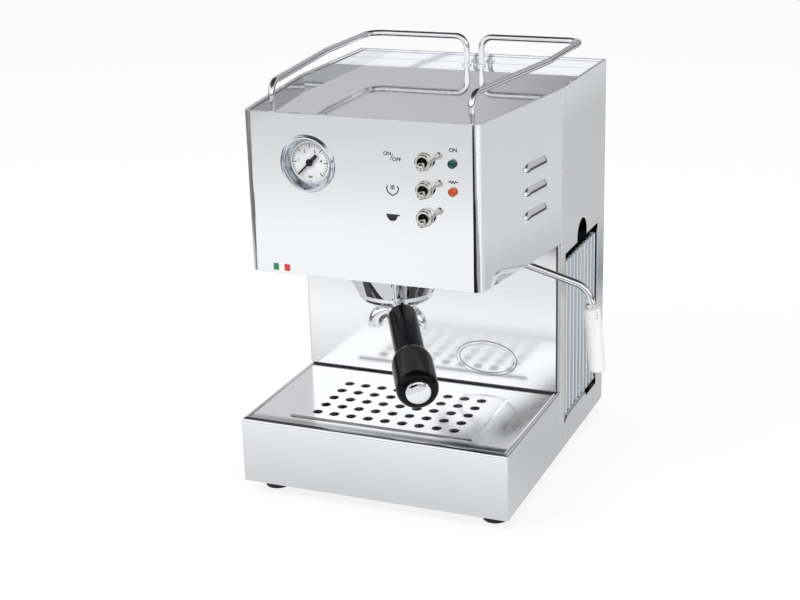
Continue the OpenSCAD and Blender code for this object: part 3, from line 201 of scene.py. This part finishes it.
def metal(name, colour, rough, grain, grain_depth, wave, edge, change=0.01, metallic=1.0):
    """Metal: range of roughness, stretch and depth of the grain, depth of the waves, edge radius."""
    m = Mat(name, Metallic=metallic)
    m.tint(colour, change, 9)
    m.sheet(rough, grain, grain_depth, wave, edge)
    return m.material


def moulded(name, colour, rough, pits, scale, edge=0.3, coat=0.0, **sockets):
    """Plastic, rubber or print: range of roughness, depth and scale of the skin, edge radius."""
    m = Mat(name, **sockets, Coat_Weight=coat, Coat_Roughness=0.05)
    m.tint(colour, 0.12, 40)
    skin = m.noise(scale, EVEN, 3)
    m.link(m.spread(skin, *rough), "Roughness")
    m.link(m.bump(skin, pits, m.round_edges(edge) if edge else None), "Normal")
    return m.material


STEEL = (0.875, 0.88, 0.895)
POLISH = ((0.035, 0.075), (60, 60, 900), 1.2e-6, 3.5e-4, 0.5)
mirror_steel = metal("mirror_steel", STEEL, *POLISH)
tray_steel = metal("tray_steel", STEEL, (0.04, 0.065), (700, 40, 40), 1e-6, 1.5e-4, 0.4)
cover_steel = metal("cover_steel", (0.87, 0.875, 0.885), (0.13, 0.24), (900, 60, 60), 4e-6, 1e-4, 0.35)
inner_steel = metal("inner_steel", (0.60, 0.61, 0.63), (0.28, 0.42), (300, 40, 40), 8e-6, 2e-4, 0.4)
zinc = metal("zinc", (0.55, 0.56, 0.58), (0.22, 0.38), (400, 400, 400), 1e-5, 0, 0.25, 0.04)
chrome = metal("chrome", (0.86, 0.865, 0.88), (0.02, 0.05), (300, 300, 300), 0, 6e-5, 0.25)
# Painted sheen: a white diffuse share makes the frothing sleeve whitish in place of white reflections;
# its satin roughness is its own finish
satin_chrome_painted_sheen = metal("satin_chrome_painted_sheen", (0.96, 0.96, 0.965), (0.20, 0.24), (90, 90, 90), 0, 5e-5, 0.25,
                     metallic=0.3)
gauge_steel = metal("gauge_steel", (0.70, 0.73, 0.78), (0.12, 0.20), (200, 200, 200), 0, 2e-4, 0.25)
nickel = metal("nickel", (0.66, 0.645, 0.62), (0.03, 0.07), (300, 300, 300), 0, 6e-5, 0.3)
brass = metal("brass", (0.62, 0.42, 0.16), (0.25, 0.42), (200, 200, 200), 3e-5, 2e-4, 0.5, 0.05)
copper = metal("copper", (0.72, 0.33, 0.18), (0.2, 0.35), (200, 200, 200), 1e-5, 1e-4, 0.3, 0.05)
black_rubber = moulded("black_rubber", (0.012, 0.012, 0.013), (0.55, 0.75), 4e-5, 700)
black_plastic = moulded("black_plastic", (0.014, 0.014, 0.016), (0.32, 0.48), 3e-5, 900)
gloss_black = moulded("gloss_black", (0.0015, 0.0018, 0.002), (0.14, 0.22), 6e-6, 300, 0.4,
                      Specular_IOR_Level=0.14)
seal_grey = moulded("seal_grey", (0.16, 0.16, 0.17), (0.5, 0.65), 3e-5, 700)
red_rubber = moulded("red_rubber", (0.42, 0.05, 0.03), (0.4, 0.55), 3e-5, 600)
hose = moulded("hose", (0.68, 0.66, 0.58), (0.3, 0.45), 2e-5, 500)
needle_black = moulded("needle_black", (0.003, 0.003, 0.004), (0.3, 0.42), 4e-6, 900, 0.05)
dial_white = moulded("dial_white", (0.88, 0.88, 0.92), (0.4, 0.5), 4e-6, 700, 0.05)
ink = moulded("ink", (0.014, 0.014, 0.016), (0.35, 0.5), 2e-6, 900, 0)

# ---------------------------------------------------------------- materials of single pieces

# Ribs of the tank's outer wall and how far in from its outer side that wall reaches, further in the
# tank gets painted shade; height that divides the two lamps, in metres
RIBS = 9
RIBBED_DEPTH = 6 * MM
LAMP_DIVIDE = 0.309


def tank_plastic():
    """Clear moulded plastic; ribs get a painted highlight, grooves and inner walls painted shade."""
    low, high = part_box("water_tank")
    pitch = (high.y - low.y) / RIBS
    m = Mat("clear_tank", IOR=1.49)
    where = m.position()
    aside = m.calc("PINGPONG", m.calc("SUBTRACT", where["Y"], (low.y + high.y) / 2), pitch / 2)
    # Painted shade in the grooves between the ribs and a painted highlight along each rib's ridge
    groove_shade = m.span(aside, pitch * 0.32, pitch * 0.46, kind="SMOOTHSTEP")
    ridge_highlight = m.span(aside, pitch * 0.20, pitch * 0.08, kind="SMOOTHSTEP")
    flow = m.noise(26, (1, 1, 0.3), 2)
    crest = m.mix(m.spread(flow, 0, 1), (0.42, 0.46, 0.50), (0.52, 0.56, 0.60))
    painted_ribs = m.mix(groove_shade, m.mix(ridge_highlight, crest, (0.84, 0.87, 0.90)), (0.035, 0.045, 0.055))
    # Painted shade: the tank's walls further in than the ribbed outer wall get a dark colour
    outer = m.calc("GREATER_THAN", where["X"], high.x - RIBBED_DEPTH)
    m.link(m.mix(outer, (0.11, 0.125, 0.14), painted_ribs), "Base Color")
    m.link(m.span(outer, 0, 1, 0.5, 0.15), "Transmission Weight")
    m.link(m.spread(flow, 0.08, 0.16), "Roughness")
    m.link(m.bump(flow, 1e-4, m.round_edges(0.4)), "Normal")
    return m.material


def clear_glass():
    m = Mat("gauge_glass", IOR=1.2, Alpha=0.05)
    m.tint((0.10, 0.11, 0.12), 0.1, 40)
    m.link(m.spread(m.noise(60), 0.02, 0.05), "Roughness")
    return m.material


def lamp_lens():
    """Domed lenses: the upper one is green, the lower one orange."""
    m = Mat("lamp_lens", Specular_IOR_Level=0.3, Coat_Weight=0.25, Coat_Roughness=0.06)
    upper = m.calc("GREATER_THAN", m.position()["Z"], LAMP_DIVIDE)
    ripple = m.spread(m.noise(500), 0, 1)
    green = m.mix(ripple, (0.0, 0.035, 0.022), (0.002, 0.085, 0.055))
    orange = m.mix(ripple, (0.38, 0.05, 0.01), (0.58, 0.10, 0.022))
    m.link(m.mix(upper, orange, green), "Base Color")
    m.link(m.spread(m.noise(800), 0.10, 0.2), "Roughness")
    return m.material


def drip_steel():
    """Sheet of the drip cover with a painted dark reflection along its front lip, strongest towards the
    right.
    """
    low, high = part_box("drip_cover")
    m = Mat("drip_steel", Metallic=1.0)
    where = m.position()
    # Painted reflection: a dark band along the front lip, darker towards the right
    lip = m.span(where["Y"], low.y + 13 * MM, low.y + 5 * MM, kind="SMOOTHSTEP")
    painted_reflection = m.calc("MULTIPLY", lip, m.span(where["X"], low.x, high.x, 0.45, 1.0))
    grain = m.sheet((0.10, 0.17), (700, 40, 40), 2e-6, 1e-4, 0.35)
    pale = m.mix(m.spread(grain, 0, 1), (0.93, 0.935, 0.94), (0.96, 0.96, 0.965))
    m.link(m.mix(painted_reflection, pale, (0.05, 0.055, 0.05)), "Base Color")
    return m.material


# Painted reflection of the splash panel's right-hand bend: darkness by the distance from the panel's
# edge in millimetres
BEND_REFLECTION = ((-4, 0), (-2.88, 0), (-2.56, 1), (-1.52, 1), (-0.88, 0.3), (0, 0.3))


def splash_steel():
    """Pale sheet; the right-hand bend gets a painted reflection, a dark line with a grey strip beside
    it.
    """
    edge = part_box("splash_panel")[1].x
    m = Mat("splash_steel", Metallic=1.0)
    stops = [(edge + at * MM, level) for at, level in BEND_REFLECTION]
    painted_reflection = m.ramp(m.position()["X"], stops, stops[0][0], edge)
    grain = m.sheet((0.14, 0.18), (30, 30, 900), 4e-6, 1e-4, 0.4)
    pale = m.mix(m.spread(grain, 0, 1), (0.95, 0.955, 0.96), (0.97, 0.975, 0.98))
    m.link(m.mix(painted_reflection, pale, (0.06, 0.06, 0.065)), "Base Color")
    return m.material


def edged_steel(cover):
    """Polished sheet of a side cover; its ground front edge shows as a pale line along the seam."""
    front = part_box(cover)[0].y
    m = Mat(cover + "_steel")
    m.tint(STEEL, 0.01, 9)
    m.sheet(*POLISH)
    m.link(m.span(m.position()["Y"], front + 0.7 * MM, front + 1.0 * MM), "Metallic")
    return m.material


# Materials by the slots of the record, then those of single pieces
FINISH = {
    "polished_steel": mirror_steel, "tray_steel": cover_steel, "inner_steel": inner_steel,
    "fastener_steel": zinc, "chrome": chrome, "brass": brass, "copper": copper,
    "black_rubber": black_rubber, "black_plastic": black_plastic, "gloss_black": gloss_black,
    "clear_tank": tank_plastic(), "gauge_glass": clear_glass(), "dial_white": dial_white,
    "needle_black": needle_black, "lamp_lens": lamp_lens(), "red_rubber": red_rubber, "hose": hose,
}
OWN_FINISH = {
    "drip_tray": tray_steel, "cup_tray": tray_steel, "drip_cover": drip_steel(),
    "switch_nuts": nickel, "power_lever": nickel, "steam_lever": nickel, "brew_lever": nickel,
    "frothing_sleeve": satin_chrome_painted_sheen, "left_cover": edged_steel("left_cover"),
    "right_cover": edged_steel("right_cover"), "splash_panel": splash_steel(),
    "splash_seal": seal_grey, "gauge_bezel": gauge_steel, "gauge_case": gauge_steel,
}


def paint(obj, material):
    if not obj.material_slots:
        obj.data.materials.append(material)
    for slot in obj.material_slots:
        slot.material = material


for part in frame["record"]["subparts"]:
    paint(CAD[part["node"]], OWN_FINISH.get(part["node"], FINISH[part["material_slot"]]))

# ---------------------------------------------------------------- shapes of extra pieces

# Lengths here and in the pieces below are millimetres; outlines lie in the x-z plane
HEAD_FRONT = -147
PRINT = 0.1


def add(name, mesh, body, material, y):
    """Piece made in the x-z plane and moved back or forward to y, which is in metres."""
    mesh.transform(Matrix.Translation((0, y, 0)))
    obj = place(name, mesh)
    paint(obj, material)
    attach(obj, body)


def add_legend(name, mesh, material=ink):
    add(name, mesh, "machine", material, HEAD_FRONT * MM)


def prism(name, outlines, thick):
    """Mesh of flat outlines, pushed out to the front (-y) by a thickness."""
    bm = bmesh.new()
    for outline in outlines:
        back, front = ([bm.verts.new((x * MM, y, z * MM)) for x, z in outline] for y in (0, -thick * MM))
        sides = zip(back, back[1:] + back[:1], front[1:] + front[:1], front)
        for face in (back, front, *sides):
            bm.faces.new(face)
    bmesh.ops.recalc_face_normals(bm, faces=bm.faces)
    mesh = bpy.data.meshes.new(name)
    bm.to_mesh(mesh)
    bm.free()
    return mesh


def shift(outline, x, z):
    return [(a + x, b + z) for a, b in outline]


def bar(start, end, w):
    """Outline of a straight stroke of width w."""
    (x0, z0), (x1, z1) = start, end
    d = Vector((x1 - x0, z1 - z0))
    n = Vector((-d.y, d.x)).normalized() * w / 2
    return [(x0 + n.x, z0 + n.y), (x0 - n.x, z0 - n.y), (x1 - n.x, z1 - n.y), (x1 + n.x, z1 + n.y)]


def stroke(points, w):
    """Outlines of the bars along a row of points."""
    return [bar(a, b, w) for a, b in zip(points, points[1:])]


def letters(text, size, x, z, thick=PRINT):
    """Word as a mesh, centred on (x, z)."""
    curve = bpy.data.curves.new("word", "FONT")
    curve.body = text
    curve.size = size * MM
    curve.align_x, curve.align_y = "CENTER", "CENTER"
    curve.extrude = thick / 2 * MM
    curve.offset = 0.09 * MM
    curve.resolution_u = 4
    holder = place("word", curve)
    bpy.context.view_layer.update()
    mesh = bpy.data.meshes.new_from_object(holder.evaluated_get(bpy.context.evaluated_depsgraph_get()))
    bpy.data.objects.remove(holder)
    stand = Matrix.Rotation(math.radians(90), 4, "X")
    mesh.transform(Matrix.Translation((x * MM, -thick / 2 * MM, z * MM)) @ stand)
    return mesh


def joined(name, meshes):
    bm = bmesh.new()
    for mesh in meshes:
        bm.from_mesh(mesh)
    made = bpy.data.meshes.new(name)
    bm.to_mesh(made)
    bm.free()
    return made


# ---------------------------------------------------------------- legends beside switches and lamps


def steam_icon():
    """Open ring with three rising strokes."""
    ring = [(-4.2, 3.6), (-5.3, 1.0), (-4.0, -2.4), (0, -4.9), (4.0, -2.4), (5.3, 1.0), (4.2, 3.6)]
    lines = stroke(ring, 0.95) + [bar((dx, 0.2), (dx, 4.0), 0.75) for dx in (-1.3, 0, 1.3)]
    return prism("steam_icon", [shift(line, 28.8, 295.2) for line in lines], PRINT)


def filter_icon():
    """Filter cup with a rounded bottom and a short handle."""
    bowl = [(-6, 2.6), (6.2, 2.6), (6.2, 1.4), (4.4, 1.2), (3.5, -1.0), (2.4, -2.5), (1.3, -3.1),
            (-1.9, -3.1), (-3.1, -2.5), (-4.7, -0.4)]
    return prism("filter_icon", [shift(bowl, 28.3, 272)], PRINT)


def zigzag():
    """Sign of a heating element."""
    points = [(-4.4, 0), (-2.9, 0), (-2.2, 1.3), (-1.1, -1.3), (0, 1.3), (1.1, -1.3), (2.2, 1.3),
              (2.9, 0), (4.4, 0)]
    return prism("zigzag", stroke(shift(points, 81.2, 305.3), 0.75), PRINT)


slash = prism("slash", [bar((27.6, 319.9), (29.9, 324.9), 0.6)], PRINT)
on_off = [letters("ON", 4.3, 25.0, 325.0), letters("OFF", 4.5, 33.1, 320.5), slash]
add_legend("legend_power", joined("legend_power", on_off))
add_legend("legend_steam", steam_icon())
add_legend("legend_brew", filter_icon())
add_legend("legend_on", letters("ON", 4.4, 81.6, 331.4))
brown_ink = moulded("brown_ink", (0.05, 0.04, 0.03), (0.4, 0.5), 2e-6, 900, 0)
add_legend("legend_heat", zigzag(), brown_ink)

# Three upright stripes at the head's lower left corner
STRIPES = (("green", (0.01, 0.20, 0.09)), ("white", (0.80, 0.80, 0.80)), ("red", (0.55, 0.02, 0.025)))
STRIPE_LEFT, STRIPE_WIDTH, STRIPE_THICK = -83.1, 5.15, 0.15
STRIPE_LOW, STRIPE_HIGH = 216.4, 222.4
for i, (colour, value) in enumerate(STRIPES):
    x0 = STRIPE_LEFT + STRIPE_WIDTH * i
    x1 = x0 + STRIPE_WIDTH
    field = [(x0, STRIPE_LOW), (x1, STRIPE_LOW), (x1, STRIPE_HIGH), (x0, STRIPE_HIGH)]
    enamel = moulded("enamel_" + colour, value, (0.2, 0.3), 4e-6, 500, 0.05, 0.4)
    add_legend("stripe_" + colour, prism("stripe", [field], STRIPE_THICK), enamel)

# ---------------------------------------------------------------- painted shade at the edges of the pressed oval on the splash panel

OVAL = (56, 99)
SPLASH_FRONT = -1.5


def oval_line(half_w, half_h, w):
    """Closed fine line along an oval, painted shade at an edge of the pressing."""
    turns = [math.radians(a) for a in range(0, 361, 6)]
    return stroke([(OVAL[0] + half_w * math.cos(a), OVAL[1] + half_h * math.sin(a)) for a in turns], w)


# Painted shade: dark lines at the outer and inner edges of the pressed oval stand in for the shade there
lines = oval_line(29.3, 16.8, 0.55) + oval_line(26.3, 13.8, 0.45)
add("oval_shade_lines", prism("oval_shade_lines", lines, 0.05), "machine",
    moulded("oval_shade", (0.22, 0.225, 0.235), (0.4, 0.5), 2e-6, 500, 0), SPLASH_FRONT * MM)

# ---------------------------------------------------------------- gauge face

GAUGE = (-46.5, 311.5)
SCALE_LOW, SCALE_SWEEP, SCALE_STEPS, STEPS_PER_MARK = 225, 270, 30, 5
NUMBER_SPACING = 54
DIAL_PRINT = 0.05


def polar(r, deg):
    a = math.radians(deg)
    return GAUGE[0] + r * math.cos(a), GAUGE[1] + r * math.sin(a)


def gauge_scale():
    """Scale over three quarters of a turn, with its low end at the lower left, numbers and unit."""
    marks = []
    for k in range(SCALE_STEPS + 1):
        a = SCALE_LOW - SCALE_SWEEP * k / SCALE_STEPS
        inner, w = (12.4, 0.8) if k % STEPS_PER_MARK == 0 else (14.2, 0.4)
        marks.append(bar(polar(inner, a), polar(15.8, a), w))
    marks += stroke([polar(16.0, SCALE_LOW - SCALE_SWEEP * k / 60) for k in range(61)], 0.3)
    marks.append(bar(polar(15.2, -90), polar(17.0, -90), 0.5))
    words = [letters(str(k), 3.8, *polar(10.2, SCALE_LOW - NUMBER_SPACING * k), DIAL_PRINT)
             for k in range(1, 5)]
    words.append(letters("bar", 3.0, *polar(12.0, -90), DIAL_PRINT))
    return joined("gauge_scale", [prism("gauge_scale", marks, DIAL_PRINT)] + words)


def needle_face():
    """Long arm to the scale's low end, broad tail and a round hub."""
    hub = [polar(3.1, 15 * k) for k in range(24)]
    arm, tail = bar(GAUGE, polar(14.6, SCALE_LOW), 1.5), bar(GAUGE, polar(9.4, SCALE_LOW - 180), 2.9)
    return prism("needle_face", [hub, arm, tail], 0.3)


add("needle_face", needle_face(), "gauge_needle", needle_black,
    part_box("gauge_needle")[0].y)
add("gauge_scale", gauge_scale(), "machine", ink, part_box("gauge_dial")[0].y)

# ---------------------------------------------------------------- stage

FLOOR_HALF = 3.2
FLOOR_GLOW = 0.82
CARD_HEIGHT = 2 * MM
WHITE = (1, 1, 1, 1)
WHITE_LEVEL = 1.03

# Tone of the floor in reflections along Y, in metres: bright in front, greyer far in front, under the
# splash panel and behind
FLOOR_TONES = ((-1.5, 0.66), (-1.2, 0.78), (-1.0, 0.95), (-0.9, 1.0), (-0.72, 1.0), (-0.62, 0.72),
               (-0.44, 0.72), (-0.38, 1.0), (-0.33, 0.98), (-0.18, 0.68), (-0.1, 0.66), (0.02, 0.54))


def plane(name, x0, y0, x1, y1, z, material):
    mesh = bpy.data.meshes.new(name)
    mesh.from_pydata([(x0, y0, z), (x1, y0, z), (x1, y1, z), (x0, y1, z)], [], [(0, 1, 2, 3)])
    mesh.materials.append(material)
    obj = place(name, mesh)
    return obj


def floor_material():
    """White to the camera with a soft shadow; metal sees it with slow changes of tone."""
    m = Mat("floor", Base_Color=(0.86, 0.86, 0.86, 1), Roughness=0.9, Specular_IOR_Level=0.0)
    where = m.position()
    tone = m.ramp(where["Y"], FLOOR_TONES, -1.5, 0.5)
    tone = m.calc("ADD", tone, m.span(where["X"], 0.50, 0.62, 0.0, 0.14, "SMOOTHSTEP"))
    # Dark far behind, but not at the right, and dark far to the left: chrome needs dark edges
    behind = m.span(where["Y"], 0.45, 0.6, 1.0, 0.15)
    at_right = m.span(where["X"], 0.2, 0.32)
    kept = m.calc("MAXIMUM", behind, at_right)
    kept = m.calc("MULTIPLY", kept, m.span(where["X"], -0.98, -0.84, 0.12, 1.0))
    tone = m.calc("MULTIPLY", tone, kept)
    path = m.node("ShaderNodeLightPath").outputs
    straight = m.calc("MAXIMUM", path["Is Camera Ray"], path["Is Transmission Ray"])
    seen = m.calc("MAXIMUM", straight, path["Is Glossy Ray"])
    white = m.glow("ShaderNodeEmission", WHITE, WHITE_LEVEL)
    shine = m.glow("ShaderNodeEmission", (0.985, 0.99, 1.0, 1), tone)
    lit = m.blend(path["Is Glossy Ray"], white, shine)
    # A share of the floor's own diffuse light stays, and with it the shadow
    m.surface(m.blend(m.calc("MULTIPLY", seen, FLOOR_GLOW), m.shader.outputs[0], lit))
    return m.material


def card(name, x0, y0, x1, y1, colour):
    """Flat card just over the floor that only reflections see."""
    m = Mat(name)
    m.surface(m.glow("ShaderNodeEmission", (*colour, 1), 1.0))
    obj = plane(name, x0, y0, x1, y1, CARD_HEIGHT, m.material)
    obj.visible_camera = obj.visible_diffuse = obj.visible_shadow = obj.visible_transmission = False


plane("floor", -FLOOR_HALF, -FLOOR_HALF, FLOOR_HALF, FLOOR_HALF, 0, floor_material())
card("card_right", -0.02, -1.7, 0.44, -0.62, (0.012, 0.012, 0.014))
card("card_right_soft", 0.44, -1.7, 0.80, -0.40, (0.42, 0.42, 0.44))
card("card_left", -1.4, -0.95, -0.68, -0.30, (0.18, 0.18, 0.2))

# Brightness that reflections see by the direction's part along Z: dark at the horizon and overhead,
# and in front the belt between is brighter
BRIGHTEST = 1.2
COOL = (1, 1, 1.01)
BEHIND = ((-1, 0.9), (-0.12, 0.85), (-0.045, 0.10), (0.09, 0.10), (0.14, 0.62), (0.32, 0.76),
          (0.44, 0.80), (0.54, 0.20), (0.62, 0.08), (1.0, 0.06))
AHEAD = ((-1, 0.9), (-0.08, 0.9), (-0.03, 0.15), (0.02, 0.15), (0.07, 0.95), (0.2, 1.15),
         (0.42, 1.12), (0.66, 0.9), (0.74, 0.3), (0.8, 0.08), (1.0, 0.06))
# Shade behind by the part along X: darker towards the right
SHADE = ((-1, 1.0), (-0.40, 1.0), (-0.34, 0.96), (-0.28, 0.66), (0.2, 0.66), (0.5, 0.9))
DIFFUSE_LEVEL = 0.62


def make_world():
    """White behind everything; metal sees a bright belt between a dark horizon and a dark ceiling."""
    world = bpy.data.worlds.new("studio")
    bpy.context.scene.world = world
    world.use_nodes = True
    world.node_tree.nodes.clear()
    w = Tree(world.node_tree)
    direction = w.node("ShaderNodeTexCoord").outputs["Generated"]
    way = w.node("ShaderNodeSeparateXYZ", {"Vector": direction}).outputs

    def tones(value, stops):
        return w.ramp(value, [(at, level / BRIGHTEST) for at, level in stops], -1, 1, COOL)

    behind, ahead, shade = tones(way["Z"], BEHIND), tones(way["Z"], AHEAD), tones(way["X"], SHADE)
    behind = w.mix(1.0, behind, shade, "MULTIPLY")
    around = w.mix(w.span(way["Y"], 0.1, -0.3), behind, ahead)
    path = w.node("ShaderNodeLightPath").outputs
    straight = w.calc("MAXIMUM", path["Is Camera Ray"], path["Is Transmission Ray"])
    plain = w.glow("ShaderNodeBackground", WHITE, DIFFUSE_LEVEL)
    shine = w.glow("ShaderNodeBackground", around, BRIGHTEST)
    white = w.glow("ShaderNodeBackground", WHITE, WHITE_LEVEL)
    light = w.blend(path["Is Glossy Ray"], plain, shine)
    w.node("ShaderNodeOutputWorld", {"Surface": w.blend(straight, light, white)})


make_world()

AIM = Vector((0, 0, 0.2))


def lamp(name, where, side, power):
    """Square soft lamp aimed at the machine; metal doesn't mirror it."""
    data = bpy.data.lights.new(name, "AREA")
    data.shape = "SQUARE"
    data.size = side
    data.energy = power
    obj = place(name, data)
    obj.location = where
    obj.rotation_mode = "QUATERNION"
    obj.rotation_quaternion = (AIM - Vector(where)).to_track_quat("-Z", "Y")
    obj.visible_glossy = False


lamp("key", (-1.1, -1.5, 1.9), 0.9, 34)
lamp("fill", (1.6, -0.9, 1.2), 1.0, 10)
lamp("top", (0.1, 0.3, 2.2), 1.4, 12)
